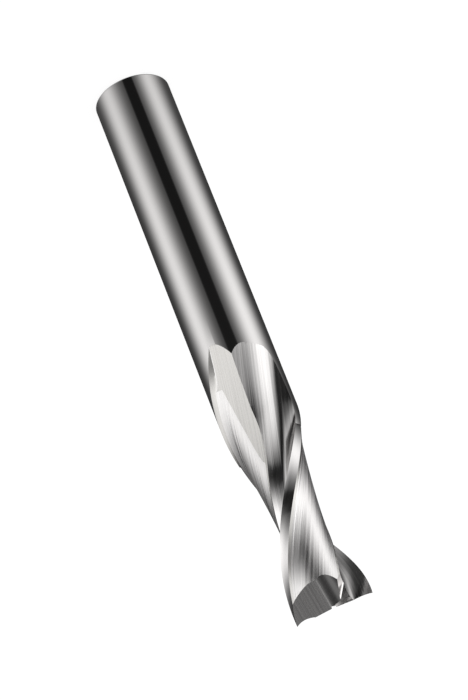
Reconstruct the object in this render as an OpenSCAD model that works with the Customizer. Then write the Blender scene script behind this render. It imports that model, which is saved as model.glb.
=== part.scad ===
// Solid end mill with two helical flutes, for milling slots in aluminium.
// One ground piece: a plain shank, and a cutting end with two teeth that cut at their sides and ends.
// The origin is the centre of the shank's end face, and the axis runs up along +Z to the cutting end.

/* [Shank] */
// Diameter of the shank
shank_d = 8; // [7.6:0.1:9]
// Length from the shank's end face to the tip corners
overall_l = 63; // [54:1:90]
// Bevel round the shank's end face
shank_bevel = 0.25; // [0.1:0.05:0.6]

/* [Cutting end] */
// Diameter over the two cutting edges
cut_d = 7.95; // [7.5:0.05:8]
// Length of the ground lands behind the cutting edges
cut_l = 19; // [14:0.5:24]
// Angle between the cutting edges and the axis
helix_angle = 28.5; // [24:0.5:32]

/* [Flutes] */
// Diameter of the core that the flutes leave
core_d = 3.44; // [3:0.04:4]
// Rake angle of the cutting edges
rake_angle = 14; // [8:1:20]
// Radius of the hollow behind the rake face
hook_r = 4; // [3.4:0.1:5]
// Angle that the hollow turns through before it blends into the core
hook_turn = 26; // [21:1:30]
// Distance below the tip at which the floor of the flute starts to rise
floor_l = 15; // [12:0.2:17]
// Distance below the tip at which the rake face starts to run out
rake_l = 18; // [15:0.1:20]
// Distance below the tip at which the heel side of the flute starts to run out
heel_l = 13; // [11:0.2:15]
// Length over which the flute turns out of its helix
flute_blend = 7.5; // [5:0.1:10]
// Lean of the grinding wheel from the axis where it leaves the flute
wheel_lean = 11.5; // [6:0.5:16]
// Angle from the cutting edge at floor_l to the side on which the wheel leaves
wheel_exit = 3; // [-6:1:12]
// Radius of the wheel that grinds the flute
wheel_r = 60; // [45:1:75]

/* [Lands and backs] */
// Width of the land behind each cutting edge
land_w = 1.08; // [0.8:0.01:1.4]
// Clearance angle of the land
land_angle = 17; // [13:0.5:20]
// Width of the second clearance behind the land
second_w = 0.3; // [0.2:0.05:0.5]
// Clearance angle of the second clearance
second_angle = 36; // [32:1:40]
// Distance from the axis to the back of a tooth at its heel
heel_h = 2.2; // [2:0.05:2.4]
// How much further from the axis the back lies at the cutting edge
back_rise = 1.8; // [1.6:0.05:1.9]
// Distance below the tip at which the back grind stops turning with the helix
back_l = 16.5; // [14:0.5:19]
// Distance below the tip at which the back grind leaves the shank
back_end = 30; // [28:0.5:34]

/* [End teeth] */
// Slope of the end edges down to the centre
end_dish = 3.4; // [1:0.2:5]
// Clearance angle behind the end edges
end_angle = 40; // [30:1:46]
// Slope of the gash that opens each end tooth to its flute
gash_slope = 52; // [45:1:58]
// Opening angle of the gash
gash_open = 117; // [105:1:125]
// Distance from the axis at which the gash starts
gash_start = 0.25; // [0.1:0.05:0.4]
// Radius along the bottom of the gash
gash_r = 0.35; // [0.15:0.05:0.5]

/* [Hidden] */
$fn = 96;
teeth = 2;
r_cut = cut_d / 2;
r_shank = shank_d / 2;
r_core = core_d / 2;
// Turn of the helix, in degrees for each millimetre of length
twist = tan(helix_angle) / r_cut * 180 / PI;
// Distance between the rings of points that make each ground face
ring_step = 0.7;
// How far the cuts start above the tip
clear_top = 1.6;
// How far the cuts reach out past the shank, and how much further where it is thicker than the cutting end
reach = 1.9 * r_shank;
thicker = 3 * max(0, r_shank - 1.02 * r_cut);
// Turn from the cutting edge to the heel of its tooth, and to where its back begins
heel_turn = 120;
back_turn = 40;
// Power by which the back bulges between its heel and its cutting edge
back_power = 1.45;

function polar(r, a) = [r * cos(a), r * sin(a)];
function spin(p, a) = [p.x * cos(a) - p.y * sin(a), p.x * sin(a) + p.y * cos(a)];
function clamp(v) = max(0, min(1, v));
function steps(a, b, n) = [for (i = [0 : n]) a + (b - a) * i / n];
function stations(last) = steps(-clear_top, last, ceil((last + clear_top) / ring_step));

// Section of the flute: a flat from the heel, a blend round the core, and the hollow behind the rake face
hook_c = [r_cut - hook_r * sin(rake_angle), hook_r * cos(rake_angle)];
hook_edge = rake_angle - 90;
hook_end = hook_c + polar(hook_r, hook_edge - hook_turn);
hook_in = -polar(1, hook_edge - hook_turn);
blend_r = (hook_end * hook_end - r_core * r_core) / (2 * (r_core - hook_end * hook_in));
blend_c = hook_end + blend_r * hook_in;
core_a = atan2(-blend_c.y, -blend_c.x);
blend_a = atan2(hook_end.y - blend_c.y, hook_end.x - blend_c.x);
core_p = blend_c + polar(blend_r, core_a);
flat_dir = [-core_p.y, core_p.x] / norm(core_p);
flute_section = [
    for (i = [6 : -1 : 1]) core_p + flat_dir * ((1.1 * r_shank + thicker) * i / 6),
    for (i = [5 : -1 : 1]) blend_c + polar(blend_r, blend_a + (core_a - blend_a) * i / 5),
    for (a = steps(hook_edge - hook_turn, hook_edge, 7)) hook_c + polar(hook_r, a),
    for (a = steps(hook_edge + 7, hook_edge + 28, 3)) hook_c + polar(hook_r, a)
];

// Where each point of the section stops following the helix
function run_out(p) = p.y > 0.11 * r_shank
    ? floor_l + (heel_l - floor_l) * clamp((p.y - 0.2 * r_shank) / (0.4 * r_shank))
    : floor_l + (rake_l - floor_l) * clamp((norm(p) - r_core) / (r_cut - r_core));

// Past its run-out a point leaves the helix smoothly, along the lean and the rim of the wheel
exit_a = wheel_exit - twist * floor_l;
function flute_point(p, s) = let (
        stop = run_out(p),
        ds = max(0, s - stop),
        q = spin(p, -twist * min(s, stop)),
        w = ds < flute_blend ? ds * ds / (2 * flute_blend) : ds - flute_blend / 2,
        along = (ds - w) * twist * PI / 180 * [q.y, -q.x],
        across = w * tan(wheel_lean) * [sin(exit_a), -cos(exit_a)],
        out = ds * ds / (2 * wheel_r) * [cos(exit_a), sin(exit_a)],
        xy = q + along + across + out
    ) [xy.x, xy.y, -s];
flute_end = floor_l + sqrt(2 * wheel_r * (r_shank - r_core + 0.6));

// Height of the back's flats over the axis, as a function of the turn of the flat from the cutting edge
function back_h(a) = heel_h + back_rise * pow(max(0, 1 + a / heel_turn), back_power);
function back_slope(a) =
    back_rise * back_power / (heel_turn * PI / 180) * pow(max(0, 1 + a / heel_turn), back_power - 1);
function back_point(a, lift) = polar(back_h(a) + lift, a) + polar(back_slope(a), a + 90);

// Ends of the land and of the second clearance, in section
land_p = [r_cut - land_w * sin(land_angle), -land_w * cos(land_angle)];
second_n = atan2(land_p.y, land_p.x) - second_angle;
second_dir = polar(1, second_n - 90);
second_p = land_p + second_w * second_dir;
second_h = land_p * polar(1, second_n);

// Point where the line over the axis at height ha with its normal at angle a crosses the one at b and hb
function crossing(a, ha, b, hb) = polar(ha, a) + polar((hb - ha * cos(b - a)) / sin(b - a), a + 90);

// Section of the second clearance and back, with a flat in place of what the helix no longer reaches
back_clear = r_shank - back_h(twist * (back_end - back_l) - heel_turn);
function back_section(s) = let (
        past = max(0, s - back_l),
        last = twist * past - heel_turn,
        lift = back_clear * pow(past / (back_end - back_l), 2),
        heel = back_point(last, lift) - polar((0.5 + 0.4 * clamp(past / 2)) * r_shank, last + 90),
        curved = last < -back_turn - 8,
        start = curved ? second_p : crossing(second_n, second_h, last, back_h(last) + lift)
    ) [
        polar(1.5 * reach, -75),
        polar(reach, -40),
        land_p - 0.2 * r_shank * second_dir,
        start,
        for (i = [0 : 9]) curved
            ? back_point(-back_turn + (last + back_turn) * i / 9, lift)
            : start + (heel - start) * (i + 1) / 11,
        heel,
        polar(reach, last - 5)
    ];
back_top = back_end + 2.4;

// Section of the cut above the land
land_dir = polar(1, 90 - land_angle);
land_section = [
    [r_cut, 0] + (0.08 * r_shank + thicker) * land_dir,
    land_p - 0.03 * r_shank * land_dir,
    polar(1.25 * r_shank, -16)
];

function on_helix(section, s) = [for (p = section) let (q = spin(p, -twist * s)) [q.x, q.y, -s]];

// Closed solid through rings of points that run down from the tip, each ring turning anticlockwise
module skin(rings) {
    n = len(rings[0]);
    last = (len(rings) - 1) * n;
    sides = [
        for (j = [0 : n : last - n], i = [0 : n - 1])
            let (a = j + i, b = j + (i + 1) % n)
            each [[a, b, b + n], [a, b + n, a + n]]
    ];
    ends = [for (i = [1 : n - 2]) each [[0, i + 1, i], [last, last + i, last + i + 1]]];
    polyhedron([for (ring = rings) each ring], concat(sides, ends));
}

module blank() {
    rotate_extrude() polygon([
        [0, 0], [r_shank - shank_bevel, 0], [r_shank, shank_bevel], [r_shank, overall_l], [0, overall_l]
    ]);
}

module flute_cut() {
    skin([for (s = stations(flute_end)) [for (p = flute_section) flute_point(p, s)]]);
}

module back_cut() {
    skin([for (s = stations(back_top)) on_helix(back_section(s), s)]);
}

module land_cut() {
    skin([for (s = stations(cut_l)) on_helix(land_section, s)]);
}

// Everything above the clearance face of one end tooth, on its own side of the centre
module end_cut() {
    intersection() {
        translate([-2 * reach, -2 * reach, -reach]) cube([4 * reach, 2 * reach, 2 * reach]);
        translate([r_cut, 0, 0]) rotate([end_angle, -end_dish, 0])
            translate([-2 * reach, -2 * reach, 0]) cube([4 * reach, 4 * reach, 2 * reach]);
    }
}

// Everything above the gash: its rake wall, a small radius along its bottom, and its floor
module gash_cut() {
    translate([gash_start, 0, -tan(end_dish) * (r_cut - gash_start)]) rotate([0, gash_slope, 0])
        translate([-reach, 0, 0]) rotate([90, 0, 90]) linear_extrude(2 * reach) polygon([
            [0, reach],
            for (a = steps(180, 360 - gash_open, 4)) [gash_r, gash_r / tan(gash_open / 2)] + polar(gash_r, a),
            polar(reach, 90 - gash_open),
            [reach, reach]
        ]);
}

module end_mill() {
    color("#8d8f92") difference() {
        blank();
        translate([0, 0, overall_l]) for (i = [0 : teeth - 1]) rotate(i * 360 / teeth) {
            flute_cut();
            back_cut();
            land_cut();
            end_cut();
            gash_cut();
        }
    }
}

end_mill();
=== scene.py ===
import math

import bpy
import numpy as np
from mathutils import Matrix, Vector


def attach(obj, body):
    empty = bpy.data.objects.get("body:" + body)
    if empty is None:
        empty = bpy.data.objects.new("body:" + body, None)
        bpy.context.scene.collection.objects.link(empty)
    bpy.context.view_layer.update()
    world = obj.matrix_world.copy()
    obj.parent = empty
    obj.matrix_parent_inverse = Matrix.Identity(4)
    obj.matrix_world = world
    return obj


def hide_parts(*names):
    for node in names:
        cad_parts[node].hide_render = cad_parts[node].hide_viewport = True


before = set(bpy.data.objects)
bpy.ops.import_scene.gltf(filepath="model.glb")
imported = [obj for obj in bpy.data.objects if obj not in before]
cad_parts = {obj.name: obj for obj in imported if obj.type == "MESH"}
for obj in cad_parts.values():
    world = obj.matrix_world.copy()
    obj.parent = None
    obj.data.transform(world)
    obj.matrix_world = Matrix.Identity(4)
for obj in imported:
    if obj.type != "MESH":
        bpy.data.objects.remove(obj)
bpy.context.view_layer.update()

# A solid end mill of 8 mm, standing on the end of its shank. It is ground here from a rod as in the
# part's source, only with finer facets. Its sizes are in millimetres, and turn to metres when a mesh is
# made. They are the source's sizes, apart from a steeper and narrower gash. The rounded rim of the shank
# and the hollow that thins the web are only here.
MM = 0.001
TEETH = 2

# Shank and cutting end
R_SHANK = 4.0
OVERALL_L = 63.0
R_CUT = 3.975
CUT_L = 19.0
HELIX = math.radians(28.5)
# Turn of the helix, in radians for each millimetre of length
TWIST = math.tan(HELIX) / R_CUT
# The bevel round the shank's end face, worn round by handling
RIM_R = 0.2
RIM_POINTS = 9
# Faces round the rod, and the height up to which the cuts leave them whole
ROD_FACES = 360
ROD_BAND = 30.0

# Flute: its core, rake face and hollow, how far down its floor, rake face and heel side follow the helix,
# and how the wheel leaves it
R_CORE = 1.72
RAKE = math.radians(14)
HOOK_R = 4.0
HOOK_TURN = math.radians(26)
FLOOR_L = 15.0
RAKE_L = 18.0
HEEL_L = 13.0
FLUTE_BLEND = 7.5
WHEEL_LEAN = math.radians(11.5)
WHEEL_EXIT = math.radians(3)
WHEEL_R = 60.0
# The flute's heel side is what lies further across the rake face than HEEL_SIDE. From HEEL_FROM on, its
# run-out moves from that of the floor to that of the heel, over HEEL_OVER.
HEEL_SIDE = 0.11 * R_SHANK
HEEL_FROM = 0.2 * R_SHANK
HEEL_OVER = 0.4 * R_SHANK
# Length of the flute's flat wall, which ends outside the rod, how far the cut turns on past the cutting
# edge, and how far its floor has risen out of the rod at its lower end
FLUTE_WALL = 22 / 15 * R_SHANK
PAST_EDGE = math.radians(28)
FLUTE_CLEAR = 0.6
FLUTE_FLAT_POINTS = 20
FLUTE_BLEND_POINTS = 12
FLUTE_HOOK_POINTS = 16
PAST_EDGE_POINTS = 4

# Land, second clearance and back
LAND_W = 1.08
LAND_ANGLE = math.radians(17)
SECOND_W = 0.3
SECOND_ANGLE = math.radians(36)
HEEL_H = 2.2
BACK_RISE = 1.8
BACK_L = 16.5
BACK_END = 30.0
BACK_POWER = 1.45
# Turn from the cutting edge to the heel, and the least and most turn to where the back may begin, with
# how many turns are tried between them
HEEL_TURN = math.radians(120)
BACK_FROM = math.radians(30)
BACK_TO = math.radians(62)
BACK_TRIES = 321
# How far the back's flat runs on past the heel, and how much further once the helix has left it by 2 mm
HEEL_STRETCH = 0.5 * R_SHANK
FLAT_STRETCH = 0.6 * R_SHANK
STRETCH_OVER = 2.0
# Shortest turn that still counts as bulging back. Where there is less, the back's points crowd into this
# part of the flat.
LEAST_BULGE = 0.01
CROWD_FROM = 0.001
CROWD_TO = 0.02
# How far the grinding lines lean across the flat for each millimetre down
FLAT_LEAN = 0.26
# How far the cut of the second clearance starts before the land's end
SECOND_BEFORE = 0.2 * R_SHANK
# How far the cut of the land goes on past the cutting edge, and past the land's end
LAND_BEFORE = 0.08 * R_SHANK
LAND_PAST = 0.03 * R_SHANK
LAND_POINTS = 9
SECOND_POINTS = 6
BACK_POINTS = 28
FLAT_POINTS = 14

# End teeth
END_DISH = math.radians(3.4)
END_ANGLE = math.radians(40)
GASH_SLOPE = math.radians(60)
GASH_OPEN = math.radians(93)
GASH_START = 0.5
GASH_R = 0.15
GASH_POINTS = 9
# Hollow that thins the web between the gashes, ground along the end face of the tooth behind it: where it
# starts past the centre, how steeply it leaves that end face, its radius, and how far it is ground
THIN_START = 0.25
THIN_DROP = 0.6
THIN_R = 2.1
THIN_REACH = 3.2
THIN_POINTS = 25

# How far the cuts start above the tip, end below the back grind, and reach out past the rod
CLEAR_TOP = 1.6
CLEAR_BACK = 2.4
REACH = 1.9 * R_SHANK
# The two halves of the end's clearance cut overlap this much, so that nothing is left between them
OVERLAP = 0.01
# Distance between the rings of points along a ground face, fine enough to stay smooth at the light's edge
RING_STEP = 0.16
# Faces that meet at more than this are drawn with an edge between them
SHARP = math.radians(14)

# Kinds of ground face, each with its own finish
SHANK, FLUTE, BACK, FLAT, LAND, SECOND, END, GASH = range(8)


# Sections of the grinds, seen from the tip, with the cutting edge on x

def polar(r, a):
    return np.array((r * math.cos(a), r * math.sin(a)))


# Corners of the cuts outside the rod. The back has one more, turned by HEEL_CORNER past its heel.
FLUTE_CORNER = polar(REACH, math.radians(50))
LAND_CORNER = polar(1.25 * R_SHANK, math.radians(-16))
BACK_CORNERS = [polar(1.5 * REACH, math.radians(-75)), polar(REACH, math.radians(-40))]
HEEL_CORNER = math.radians(5)


def spin(points, a):
    c, s = np.cos(a), np.sin(a)
    x, y = points[..., 0], points[..., 1]
    return np.stack((x * c - y * s, x * s + y * c), -1)


def stations(last):
    """Distances below the tip, from just above it to last."""
    return np.linspace(-CLEAR_TOP, last, math.ceil((last + CLEAR_TOP) / RING_STEP) + 1)


def on_helix(section, s):
    section = np.asarray(section, float)
    return np.column_stack((spin(section, -TWIST * s), np.full(len(section), -s)))


def between(start, end, shares):
    return [start + (end - start) * t for t in shares]


def flute_section():
    """A flat from the heel, a blend round the core, and the hollow behind the rake face."""
    hook_c = np.array((R_CUT - HOOK_R * math.sin(RAKE), HOOK_R * math.cos(RAKE)))
    edge = RAKE - math.pi / 2
    hook_end = hook_c + polar(HOOK_R, edge - HOOK_TURN)
    inward = -polar(1, edge - HOOK_TURN)
    blend_r = (hook_end @ hook_end - R_CORE ** 2) / (2 * (R_CORE - hook_end @ inward))
    blend_c = hook_end + blend_r * inward
    core_a = math.atan2(-blend_c[1], -blend_c[0])
    blend_a = math.atan2(*(hook_end - blend_c)[::-1])
    core_p = blend_c + polar(blend_r, core_a)
    along = np.array((-core_p[1], core_p[0])) / np.linalg.norm(core_p)
    flat = [core_p + along * d for d in np.linspace(FLUTE_WALL, 0, FLUTE_FLAT_POINTS + 1)[:-1]]
    blend_turns = np.linspace(core_a, blend_a, FLUTE_BLEND_POINTS + 1)[:-1]
    blend = [blend_c + polar(blend_r, a) for a in blend_turns]
    hook_turns = np.linspace(edge - HOOK_TURN, edge, FLUTE_HOOK_POINTS + 1)
    past_turns = np.linspace(edge, edge + PAST_EDGE, PAST_EDGE_POINTS + 1)[1:]
    hook = [hook_c + polar(HOOK_R, a) for a in (*hook_turns, *past_turns)]
    return np.array(flat + blend + hook + [FLUTE_CORNER])


def flute_rings():
    """The flute follows its helix to its run-out, then leaves along the lean and rim of the wheel."""
    section = flute_section()
    radius = np.linalg.norm(section, axis=1)
    toward_heel = np.clip((section[:, 1] - HEEL_FROM) / HEEL_OVER, 0, 1)
    toward_edge = np.clip((radius - R_CORE) / (R_CUT - R_CORE), 0, 1)
    later = np.where(section[:, 1] > HEEL_SIDE,
                     (HEEL_L - FLOOR_L) * toward_heel,
                     (RAKE_L - FLOOR_L) * toward_edge)
    stop = FLOOR_L + later
    exit_a = WHEEL_EXIT - TWIST * FLOOR_L
    levels = stations(FLOOR_L + math.sqrt(2 * WHEEL_R * (R_SHANK - R_CORE + FLUTE_CLEAR)))
    rings = []
    for s in levels:
        past = np.maximum(0, s - stop)
        q = spin(section, -TWIST * np.minimum(s, stop))
        blended = np.where(past < FLUTE_BLEND, past ** 2 / (2 * FLUTE_BLEND), past - FLUTE_BLEND / 2)
        past, blended = past[:, None], blended[:, None]
        around = (past - blended) * TWIST * np.stack((q[:, 1], -q[:, 0]), -1)
        across = blended * math.tan(WHEEL_LEAN) * np.array((math.sin(exit_a), -math.cos(exit_a)))
        out = past ** 2 / (2 * WHEEL_R) * polar(1, exit_a)
        rings.append(np.column_stack((q + around + across + out, np.full(len(section), -s))))
    return np.array(rings), levels


def back_h(a):
    """Height over the axis of the line that touches the back at turn a of its normal."""
    return HEEL_H + BACK_RISE * max(0, 1 + a / HEEL_TURN) ** BACK_POWER


def back_point(a, lift):
    slope = BACK_RISE * BACK_POWER / HEEL_TURN * max(0, 1 + a / HEEL_TURN) ** (BACK_POWER - 1)
    return polar(back_h(a) + lift, a) + polar(slope, a + math.pi / 2)


def crossing(a, ha, b, hb):
    """Where the line at height ha over the axis, its normal at angle a, crosses the one at b and hb."""
    return polar(ha, a) + polar((hb - ha * math.cos(b - a)) / math.sin(b - a), a + math.pi / 2)


# Ends of the land and of the second clearance, in section, and the line of the second clearance
LAND_P = np.array((R_CUT - LAND_W * math.sin(LAND_ANGLE), -LAND_W * math.cos(LAND_ANGLE)))
SECOND_N = math.atan2(LAND_P[1], LAND_P[0]) - SECOND_ANGLE
SECOND_DIR = polar(1, SECOND_N - math.pi / 2)
SECOND_P = LAND_P + SECOND_W * SECOND_DIR
SECOND_H = LAND_P @ polar(1, SECOND_N)
# How far the back grind has lifted where it leaves the rod
BACK_LIFT = R_SHANK - back_h(TWIST * (BACK_END - BACK_L) - HEEL_TURN)
# The back's flat faces one way all along. This is the direction across it.
FLAT_ALONG = polar(1, -HEEL_TURN - TWIST * BACK_L + math.pi / 2)


def back_start(lift):
    """Turn at which the back meets the second clearance: a line through SECOND_P touches it there."""
    turns = np.linspace(-BACK_TO, -BACK_FROM, BACK_TRIES)
    over = [SECOND_P @ polar(1, a) > back_h(a) + lift for a in turns]
    return turns[int(np.argmax(over))]


def back_rings():
    """Second clearance and back of a tooth, with a flat in place of what the helix no longer reaches."""
    levels = stations(BACK_END + CLEAR_BACK)
    inner = LAND_P - SECOND_BEFORE * SECOND_DIR
    rings = []
    for s in levels:
        past = max(0, s - BACK_L)
        last = TWIST * past - HEEL_TURN
        lift = BACK_LIFT * (past / (BACK_END - BACK_L)) ** 2
        first = back_start(lift)
        stretch = HEEL_STRETCH + FLAT_STRETCH * min(1, past / STRETCH_OVER)
        heel = back_point(last, lift) - polar(stretch, last + math.pi / 2)
        if last < first - LEAST_BULGE:
            start = SECOND_P
            curve = [back_point(a, lift) for a in np.linspace(first, last, BACK_POINTS)]
        else:
            start = crossing(SECOND_N, SECOND_H, last, back_h(last) + lift)
            curve = between(start, heel, np.linspace(CROWD_FROM, CROWD_TO, BACK_POINTS))
        clearance = between(inner, start, np.linspace(0, 1, SECOND_POINTS + 1))
        flat = between(curve[-1], heel, np.linspace(0, 1, FLAT_POINTS + 1)[1:])
        heel_corner = polar(REACH, last - HEEL_CORNER)
        rings.append(on_helix([*BACK_CORNERS, *clearance, *curve, *flat, heel_corner], s))
    return np.array(rings), levels


def back_kind(i):
    """Which face the strip after point i of the back's section belongs to."""
    clearance_end = len(BACK_CORNERS) + SECOND_POINTS
    if i < clearance_end:
        return SECOND
    return BACK if i < clearance_end + BACK_POINTS else FLAT


def land_rings():
    land_dir = polar(1, math.pi / 2 - LAND_ANGLE)
    outer = np.array((R_CUT, 0)) + LAND_BEFORE * land_dir
    inner = LAND_P - LAND_PAST * land_dir
    section = [*between(outer, inner, np.linspace(0, 1, LAND_POINTS + 1)), LAND_CORNER]
    levels = stations(CUT_L)
    return np.array([on_helix(section, s) for s in levels]), levels


# Solids

def mesh_object(name, points, faces, kinds, face_uvs, materials):
    """Object from points in millimetres. face_uvs has a list of (u, v) in millimetres for each face."""
    mesh = bpy.data.meshes.new(name)
    mesh.from_pydata([[c * MM for c in p] for p in points], [], faces)
    for material in materials:
        mesh.materials.append(material)
    mesh.polygons.foreach_set("material_index", kinds)
    layer = mesh.uv_layers.new(name="Grind")
    layer.data.foreach_set("uv", [c for face in face_uvs for uv in face for c in uv])
    mesh.update()
    piece = bpy.data.objects.new(name, mesh)
    bpy.context.collection.objects.link(piece)
    return piece


def skin(name, rings, levels, fixed, kind_of, materials):
    """Closed solid through rings that run down from the tip.

    On the Grind map v runs down along the grind, and u round the ring from its point number fixed. On the
    back's flat u runs straight across instead, and leans with the wheel's lines."""
    count, n = rings.shape[:2]
    points = rings.reshape(-1, 3)
    step = np.linalg.norm(np.roll(rings, -1, axis=1)[:, :, :2] - rings[:, :, :2], axis=2)
    u = np.cumsum(np.column_stack((np.zeros(count), step)), axis=1)
    u -= u[:, fixed:fixed + 1]
    faces, kinds, uvs = [], [], []
    for j in range(count - 1):
        for i in range(n):
            a, b = j * n + i, j * n + (i + 1) % n
            c, d = b + n, a + n
            kind = kind_of(i)
            if kind == FLAT:
                corners = [points[k] for k in (a, b, c, d)]
                ends = [(p[:2] @ FLAT_ALONG - FLAT_LEAN * p[2], -p[2]) for p in corners]
            else:
                ends = [(u[j, i], levels[j]), (u[j, i + 1], levels[j]),
                        (u[j + 1, i + 1], levels[j + 1]), (u[j + 1, i], levels[j + 1])]
            faces += [(a, d, c), (a, c, b)]
            uvs += [[ends[0], ends[3], ends[2]], [ends[0], ends[2], ends[1]]]
            kinds += [kind] * 2
    base = (count - 1) * n
    for i in range(1, n - 1):
        faces += [(0, i, i + 1), (base, base + i + 1, base + i)]
        uvs += [[(0, 0)] * 3] * 2
        kinds += [kind_of(0)] * 2
    return mesh_object(name, points, faces, kinds, uvs, materials)


def rod(name, profile, materials):
    """Closed solid of revolution. u runs round the axis and v along the profile."""
    n = len(profile)
    angles = [2 * math.pi * k / ROD_FACES for k in range(ROD_FACES)]
    points = [(r * math.cos(a), r * math.sin(a), z) for a in angles for r, z in profile]
    points += [(0, 0, profile[0][1]), (0, 0, profile[-1][1])]
    low, high = len(points) - 2, len(points) - 1
    steps = [math.dist(profile[i], profile[i + 1]) for i in range(n - 1)]
    path = np.concatenate(([0], np.cumsum(steps)))
    width = 2 * math.pi * R_SHANK / ROD_FACES
    faces, uvs = [], []
    for k in range(ROD_FACES):
        a, b = k * n, (k + 1) % ROD_FACES * n
        ua, ub = k * width, (k + 1) * width
        for i in range(n - 1):
            faces.append((a + i, b + i, b + i + 1, a + i + 1))
            uvs.append([(ua, path[i]), (ub, path[i]), (ub, path[i + 1]), (ua, path[i + 1])])
        faces += [(low, b, a), (high, a + n - 1, b + n - 1)]
        uvs += [[(ua, -R_SHANK), (ub, 0), (ua, 0)],
                [(ua, path[-1] + R_SHANK), (ua, path[-1]), (ub, path[-1])]]
    return mesh_object(name, points, faces, [SHANK] * len(faces), uvs, materials)


def prism(name, corners, start, end, matrix, kind, materials):
    """Straight solid on an outline in its own x and y, from z = start to end, placed by matrix."""
    n = len(corners)
    points = [matrix @ Vector((x, y, z)) for z in (start, end) for x, y in corners]
    faces = [tuple(range(n))[::-1], tuple(range(n, 2 * n))]
    uvs = [[tuple(corners[i % n]) for i in face] for face in faces]
    for i in range(n):
        after = (i + 1) % n
        step = math.dist(corners[i], corners[after])
        faces.append((i, after, after + n, i + n))
        uvs.append([(0, start), (step, start), (step, end), (0, end)])
    return mesh_object(name, points, faces, [kind] * len(faces), uvs, materials)


def block(far, near):
    """Outline from y = -far to near, as wide as it is far both ways."""
    return [(-far, -far), (far, -far), (far, near), (-far, near)]


def end_face(turn):
    """Place of the clearance face behind an end edge, dished to the centre and leaning back."""
    lean = Matrix.Rotation(-END_DISH, 4, "Y") @ Matrix.Rotation(END_ANGLE, 4, "X")
    return turn @ Matrix.Translation((R_CUT, 0, 0)) @ lean


def end_cutter(materials):
    """Everything above the clearance face of one end tooth, on its own side of the centre."""
    far = 2 * REACH
    above = prism("end clearance", block(far, far), 0, far, end_face(Matrix()), END, materials)
    side = prism("end half", block(far, OVERLAP), -REACH, 3 * REACH, Matrix(), END, materials)
    combine(above, side, "INTERSECT")
    return above


def gash_cutter(materials):
    """Everything above the gash: its rake wall, a small radius along its bottom, and its floor."""
    arc_c = np.array((GASH_R, GASH_R / math.tan(GASH_OPEN / 2)))
    arc = [arc_c + polar(GASH_R, a) for a in np.linspace(math.pi, 2 * math.pi - GASH_OPEN, GASH_POINTS)]
    outline = [(0, REACH), *arc, polar(REACH, math.pi / 2 - GASH_OPEN), (REACH, REACH)]
    outline = [(float(x), float(y)) for x, y in outline]
    drop = -math.tan(END_DISH) * (R_CUT - GASH_START)
    # Lays the outline across the gash, with its own z down along the gash's bottom
    upright = Matrix(((0, 0, 1, 0), (1, 0, 0, 0), (0, 1, 0, 0), (0, 0, 0, 1)))
    place = Matrix.Translation((GASH_START, 0, drop)) @ Matrix.Rotation(GASH_SLOPE, 4, "Y") @ upright
    return prism("gash", outline, -REACH, REACH, place, GASH, materials)


def thinning_cutter(materials):
    """Everything above the hollow that thins the web in front of one tooth."""
    start = THIN_START - R_CUT
    reach = np.linspace(0, THIN_REACH, THIN_POINTS)
    outline = [(float(THIN_DROP * t - t * t / (2 * THIN_R)), float(start - t)) for t in reach]
    outline = [(-REACH, outline[0][1]), *outline, (-REACH, outline[-1][1])]
    # Lays the outline on edge along the other tooth's end face
    lying = Matrix(((0, 1, 0, 0), (0, 0, 1, 0), (-1, 0, 0, 0), (0, 0, 0, 1)))
    place = end_face(Matrix.Rotation(math.pi, 4, "Z")) @ lying
    return prism("thinning", outline, -REACH, 0, place, GASH, materials)


def combine(piece, other, operation):
    """Applies one boolean to piece and removes the other solid."""
    step = piece.modifiers.new("cut", "BOOLEAN")
    step.operation = operation
    step.solver = "MANIFOLD"
    step.object = other
    graph = bpy.context.evaluated_depsgraph_get()
    result = bpy.data.meshes.new_from_object(piece.evaluated_get(graph))
    piece.modifiers.clear()
    old = piece.data
    piece.data = result
    bpy.data.meshes.remove(old)
    bpy.data.objects.remove(other)


def place_cutter(cutter, tooth):
    cutter.data.transform(Matrix.Rotation(2 * math.pi * tooth / TEETH, 4, "Z"))
    cutter.data.transform(Matrix.Translation((0, 0, OVERALL_L * MM)))


def grind_end_mill(materials):
    """The rod, with what each wheel takes away from it."""
    rim = [(R_SHANK - RIM_R * (1 - math.cos(a)), RIM_R * (1 - math.sin(a)))
           for a in np.linspace(math.pi / 2, 0, RIM_POINTS)]
    tool = rod("end_mill_ground", [*rim, (R_SHANK, ROD_BAND), (R_SHANK, OVERALL_L)], materials)
    for tooth in range(TEETH):
        # The numbers are the points that the lines are counted from: the start of the second clearance,
        # where the flute's flat meets its blend, and the land's outer side
        cutters = [
            skin("back", *back_rings(), len(BACK_CORNERS), back_kind, materials),
            skin("flute", *flute_rings(), FLUTE_FLAT_POINTS, lambda i: FLUTE, materials),
            skin("land", *land_rings(), 0, lambda i: LAND, materials),
            end_cutter(materials),
            gash_cutter(materials),
            thinning_cutter(materials),
        ]
        for cutter in cutters:
            place_cutter(cutter, tooth)
            bpy.context.view_layer.update()
            combine(tool, cutter, "DIFFERENCE")
    mesh = tool.data
    mesh.polygons.foreach_set("use_smooth", [True] * len(mesh.polygons))
    mesh.set_sharp_from_angle(angle=SHARP)
    return tool


# Materials

def linear(hex_colour):
    """Linear colour, with its alpha, of an sRGB hex value."""
    values = [int(hex_colour[i:i + 2], 16) / 255 for i in (1, 3, 5)]
    return [v / 12.92 if v <= 0.04045 else ((v + 0.055) / 1.055) ** 2.4 for v in values] + [1]


def node(tree, kind, settings=None, inputs=None):
    """Adds a node with its settings. inputs maps a socket to a value or to another node's output."""
    made = tree.nodes.new(kind)
    for key, value in (settings or {}).items():
        setattr(made, key, value)
    for key, value in (inputs or {}).items():
        if isinstance(value, bpy.types.NodeSocket):
            tree.links.new(value, made.inputs[key])
        else:
            made.inputs[key].default_value = value
    return made


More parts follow.
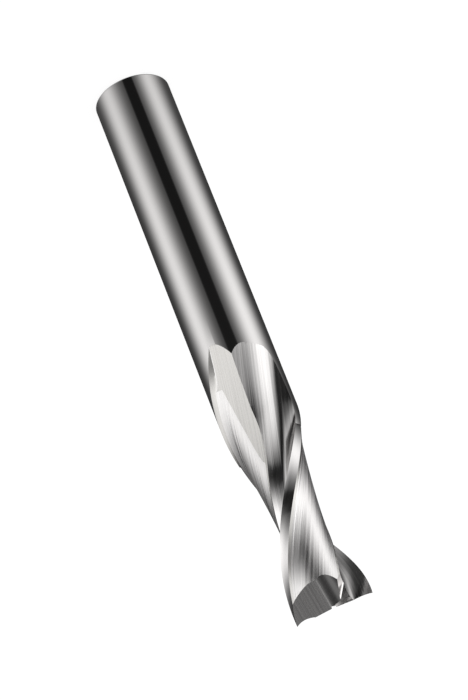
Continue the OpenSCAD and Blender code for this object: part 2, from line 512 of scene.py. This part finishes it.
# A Mix node has sockets of the same name for numbers and colours. These are the places of its colours.
MIX_A, MIX_B, MIX_RESULT = 6, 7, 2
# A cell of the noise is as wide as this many lines. The finer layers on it make the lines, and each has
# this share of the strength of the layer before.
LINES_IN_CELL = 2
FINER_LAYERS = 2.5
FINER_SHARE = 0.6
# The roughness goes from its least to its most share of the face's own between these heights of the noise
ROUGH_FROM, ROUGH_TO = 0.3, 0.7
SMOOTHEST, ROUGHEST = 0.75, 1.3
# Between these heights of the noise the colour goes from the painted shade of the deepest grooves to the
# plain colour of the ridges
GROOVE_SHADE_FROM, GROOVE_SHADE_TO = 0.36, 0.60


def ground_carbide(name, colour, roughness, pitch, depth, run, shade=0.0, across_v=False):
    """Sintered tungsten carbide, ground by a diamond wheel: lines about pitch mm apart and depth mm deep.

    The lines follow the wheel's path, v on the Grind map, or u where across_v is set, and each keeps its
    place for about run mm. shade is painted shade: the colour is made that much darker along the deepest
    of them, as the shade that falls in a groove."""
    material = bpy.data.materials.new(name)
    material.use_nodes = True
    tree = material.node_tree
    shader = tree.nodes["Principled BSDF"]
    grind = node(tree, "ShaderNodeUVMap", {"uv_map": "Grind"})
    across, along = 1 / (LINES_IN_CELL * pitch), 1 / (LINES_IN_CELL * run)
    cells = node(tree, "ShaderNodeVectorMath", {"operation": "MULTIPLY"},
                 {0: grind.outputs["UV"], 1: (along, across, 1) if across_v else (across, along, 1)})
    lines = node(tree, "ShaderNodeTexNoise", {"noise_dimensions": "2D"},
                 {"Vector": cells.outputs["Vector"], "Scale": 1,
                  "Detail": FINER_LAYERS, "Roughness": FINER_SHARE})
    relief = node(tree, "ShaderNodeBump", None,
                  {"Height": lines.outputs["Fac"], "Distance": depth * MM, "Strength": 1})
    spread = node(tree, "ShaderNodeMapRange", None,
                  {"Value": lines.outputs["Fac"], "From Min": ROUGH_FROM, "From Max": ROUGH_TO,
                   "To Min": SMOOTHEST * roughness, "To Max": ROUGHEST * roughness})
    level = node(tree, "ShaderNodeMapRange", None,
                 {"Value": lines.outputs["Fac"], "From Min": GROOVE_SHADE_FROM, "From Max": GROOVE_SHADE_TO})
    light = linear(colour)
    # The colour along the deepest lines, painted darker as the shade in their grooves
    deep = [c * (1 - shade) for c in light[:3]] + [1]
    groove_shade = node(tree, "ShaderNodeMix", {"data_type": "RGBA"},
                {0: level.outputs["Result"], MIX_A: deep, MIX_B: light})
    tree.links.new(groove_shade.outputs[MIX_RESULT], shader.inputs["Base Color"])
    tree.links.new(spread.outputs["Result"], shader.inputs["Roughness"])
    tree.links.new(relief.outputs["Normal"], shader.inputs["Normal"])
    shader.inputs["Metallic"].default_value = 1
    return material


# Every face is the same sintered carbide, a grey metal, and bare. What differs is the wheel that ground
# it, and the shade painted into its grooves and pits. Its lines are about 0.02 mm apart on the real tool,
# too fine to show, so they are drawn 0.1 to 0.2 mm apart.
CARBIDE = "#d3d1d0"
# A face with fine lines scatters the light, and looks a little lighter than a mirror of the same metal
CARBIDE_FINE = "#e2e0df"
# The worn edge of the back's wheel leaves small pits. The colour is painted a little darker, as the shade
# in them, and is a little warmer.
CARBIDE_COARSE_SHADED = "#c6c4c1"
# In the order of the kinds of face. After the colour come roughness, pitch, depth and run, and shade is
# the painted shade of the grooves.
materials = [
    # Shank, ground between two wheels: nearly a mirror, with faint hair lines round it
    ground_carbide("carbide centreless ground", CARBIDE, 0.07, 0.12, 0.00005, 30, across_v=True),
    # Flute, ground deep in one pass: glossy, with clear lines that run down the helix
    ground_carbide("carbide flute ground", CARBIDE_FINE, 0.14, 0.16, 0.010, 14, shade=0.14),
    # Back of a tooth, ground with the side of a wheel: a wide soft sheen under dense lines
    ground_carbide("carbide back ground", CARBIDE_FINE, 0.32, 0.12, 0.022, 12, shade=0.10),
    # Flat where the worn edge of the back's wheel runs out: satin, with long lines, painted dark with the
    # shade of their grooves
    ground_carbide("carbide run-out ground", CARBIDE_COARSE_SHADED, 0.26, 0.10, 0.020, 14, shade=0.20),
    # Land, finished last with a fine wheel: bright, and almost free of lines
    ground_carbide("carbide land ground", CARBIDE, 0.12, 0.20, 0.0008, 10),
    # Second clearance, a narrow strip from the same worn edge: glossy, with light lines
    ground_carbide("carbide second clearance ground", CARBIDE_COARSE_SHADED, 0.16, 0.15, 0.004, 10, shade=0.12),
    # End teeth, ground with the face of a cup wheel: satin, with straight lines, painted dark with the
    # shade of their grooves
    ground_carbide("carbide end ground", CARBIDE_FINE, 0.25, 0.11, 0.014, 9, shade=0.26),
    # Gash and thinned web, ground with the corner of a wheel: glossy, with short lines
    ground_carbide("carbide gash ground", CARBIDE_FINE, 0.16, 0.12, 0.010, 6, shade=0.20),
]

tool = grind_end_mill(materials)
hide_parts("end_mill")
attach(tool, "root")

# Studio

# The photo's camera, worked out from the outlines and the rim of the shank. Its lens, its sensor and its
# place are in mm.
CAMERA_LENS = 188.1
CAMERA_SENSOR = 36
CAMERA_PLACE = Vector((39.1404, 314.7251, 211.2749))
CAMERA_RIGHT = Vector((0.9004, -0.2938, 0.3209))
CAMERA_UP = Vector((0.4217, 0.4079, -0.8098))
# How far it sees, in metres
CAMERA_REACH = 20

# Soft boxes round the tool, each a light patch on the dark studio: the direction of its middle and its
# half size, in degrees round the tool from x and above the floor's level, how crisp its sides are, and
# its strength
SOFT_BOXES = [
    ("front strip", -4, 0, 28, 36, 2, 1.26),
    ("front strip, upper half", 26, -3, 34, 9, 2, 0.70),
    ("high front panel", 37, 15, 43, 12, 2, 1.4),
    ("side strip", 154, -19, 33, 25, 2, 1.14),
    ("side strip, upper half", 125, 0, 24, 17, 2, 1.04),
    ("back panel", -165, -2, 34, 12, 2, 0.8),
    ("low front panel", 19, -35, 26, 22, 2, 0.68),
    ("ceiling", 95, 85, 180, 15, 4, 0.22),
    ("table behind", -145, -67, 110, 24, 6, 0.55),
    ("table in front", 40, -51, 80, 9, 4, 0.08),
]
# Black cards that keep light off the tool, by the same numbers
BLACK_CARDS = [
    ("long card", 77, -44, 16, 30, 16, 0.99),
    ("upper card", 70, -9, 12, 12, 4, 0.87),
]
# How crisp their upper and lower edges are
LEVEL_CRISP = 4
# What the studio gives back where no soft box is in sight, and the least that even a black card does
STUDIO_DARK = 0.032
CARD_DARK = 0.012

# Half of the floor's side, in metres
FLOOR_HALF = 3.0
# What the camera sees of the floor by its own light, the grey on top of it that takes the shadow, and
# the white that the light bounces off
FLOOR_GLOW = 0.84
FLOOR_SHADED = "#808080"
FLOOR_WHITE = "#e9e9e9"
WHITE = "#ffffff"


def photo_camera():
    camera = bpy.data.objects.new("camera", bpy.data.cameras.new("camera"))
    bpy.context.collection.objects.link(camera)
    camera.data.lens = CAMERA_LENS
    camera.data.sensor_width = CAMERA_SENSOR
    camera.data.clip_end = CAMERA_REACH
    backward = CAMERA_RIGHT.cross(CAMERA_UP).normalized()
    facing = Matrix((CAMERA_RIGHT, CAMERA_UP, backward)).transposed().to_4x4()
    camera.matrix_world = Matrix.Translation(CAMERA_PLACE * MM) @ facing
    return camera


def patch(tree, name, around, above, middle_around, middle_above, half_around, half_above, crisp):
    """Smooth patch in one direction from the tool: 1 in its middle, and 0 far from it."""
    falls = []
    for angle, middle, half, edge in ((around, middle_around, half_around, crisp),
                                      (above, middle_above, half_above, LEVEL_CRISP)):
        steps = [("SUBTRACT", {1: math.radians(middle)}), ("WRAP", {1: math.pi, 2: -math.pi}),
                 ("ABSOLUTE", {}), ("DIVIDE", {1: math.radians(half)}), ("POWER", {1: edge})]
        for operation, numbers in steps:
            made = node(tree, "ShaderNodeMath", {"operation": operation}, {0: angle, **numbers})
            angle = made.outputs[0]
        falls.append(angle)
    fall = node(tree, "ShaderNodeMath", {"operation": "ADD"}, {0: falls[0], 1: falls[1]})
    less = node(tree, "ShaderNodeMath", {"operation": "MULTIPLY"}, {0: fall.outputs[0], 1: -1})
    made = node(tree, "ShaderNodeMath", {"operation": "EXPONENT", "label": name}, {0: less.outputs[0]})
    return made.outputs[0]


def studio():
    """The surroundings. The metal sees the soft boxes and cards, and all else the plain white room."""
    world = bpy.data.worlds.new("studio")
    world.use_nodes = True
    tree = world.node_tree
    tree.nodes.clear()
    way = node(tree, "ShaderNodeTexCoord")
    axes = node(tree, "ShaderNodeSeparateXYZ", None, {0: way.outputs["Generated"]})
    around = node(tree, "ShaderNodeMath", {"operation": "ARCTAN2"},
                  {0: axes.outputs["Y"], 1: axes.outputs["X"]}).outputs[0]
    above = node(tree, "ShaderNodeMath", {"operation": "ARCSINE"}, {0: axes.outputs["Z"]}).outputs[0]
    light = STUDIO_DARK
    for name, *box, strength in SOFT_BOXES:
        shape = patch(tree, name, around, above, *box)
        light = node(tree, "ShaderNodeMath", {"operation": "MULTIPLY_ADD"},
                     {0: shape, 1: strength, 2: light}).outputs[0]
    for name, *card, strength in BLACK_CARDS:
        shape = patch(tree, name, around, above, *card)
        left = node(tree, "ShaderNodeMath", {"operation": "MULTIPLY_ADD"}, {0: shape, 1: -strength, 2: 1})
        light = node(tree, "ShaderNodeMath", {"operation": "MULTIPLY"},
                     {0: light, 1: left.outputs[0]}).outputs[0]
    light = node(tree, "ShaderNodeMath", {"operation": "ADD"}, {0: light, 1: CARD_DARK}).outputs[0]
    ray = node(tree, "ShaderNodeLightPath")
    room = node(tree, "ShaderNodeBackground", None, {"Color": linear(WHITE), "Strength": 1})
    boxes = node(tree, "ShaderNodeBackground", None, {"Color": linear(WHITE), "Strength": light})
    both = node(tree, "ShaderNodeMixShader", None,
                {0: ray.outputs["Is Glossy Ray"], 1: room.outputs[0], 2: boxes.outputs[0]})
    node(tree, "ShaderNodeOutputWorld", None, {"Surface": both.outputs[0]})
    return world


def white_laminate():
    """Pressed laminate, matt white and without grain.

    The camera sees it nearly white by itself, so that only the tool's faint shadow shows on it."""
    material = bpy.data.materials.new("laminate matt white")
    material.use_nodes = True
    tree = material.node_tree
    tree.nodes.clear()
    ray = node(tree, "ShaderNodeLightPath")
    matt = node(tree, "ShaderNodeBsdfDiffuse", None, {"Color": linear(FLOOR_WHITE)})
    glow = node(tree, "ShaderNodeEmission", None, {"Color": linear(WHITE), "Strength": FLOOR_GLOW})
    shaded = node(tree, "ShaderNodeBsdfDiffuse", None, {"Color": linear(FLOOR_SHADED)})
    shown = node(tree, "ShaderNodeAddShader", None, {0: glow.outputs[0], 1: shaded.outputs[0]})
    both = node(tree, "ShaderNodeMixShader", None,
                {0: ray.outputs["Is Camera Ray"], 1: matt.outputs[0], 2: shown.outputs[0]})
    node(tree, "ShaderNodeOutputMaterial", None, {"Surface": both.outputs[0]})
    return material


def pale_floor():
    corners = [(x * FLOOR_HALF, y * FLOOR_HALF, 0) for x, y in ((-1, -1), (1, -1), (1, 1), (-1, 1))]
    mesh = bpy.data.meshes.new("floor")
    mesh.from_pydata(corners, [], [(0, 1, 2, 3)])
    mesh.materials.append(white_laminate())
    floor = bpy.data.objects.new("floor", mesh)
    bpy.context.collection.objects.link(floor)
    # The soft boxes reach below the floor's level, as in the photo, where the tool had no table under it
    floor.visible_glossy = False


scene = bpy.context.scene
scene.camera = photo_camera()
scene.view_settings.view_transform = "Standard"
scene.world = studio()
pale_floor()
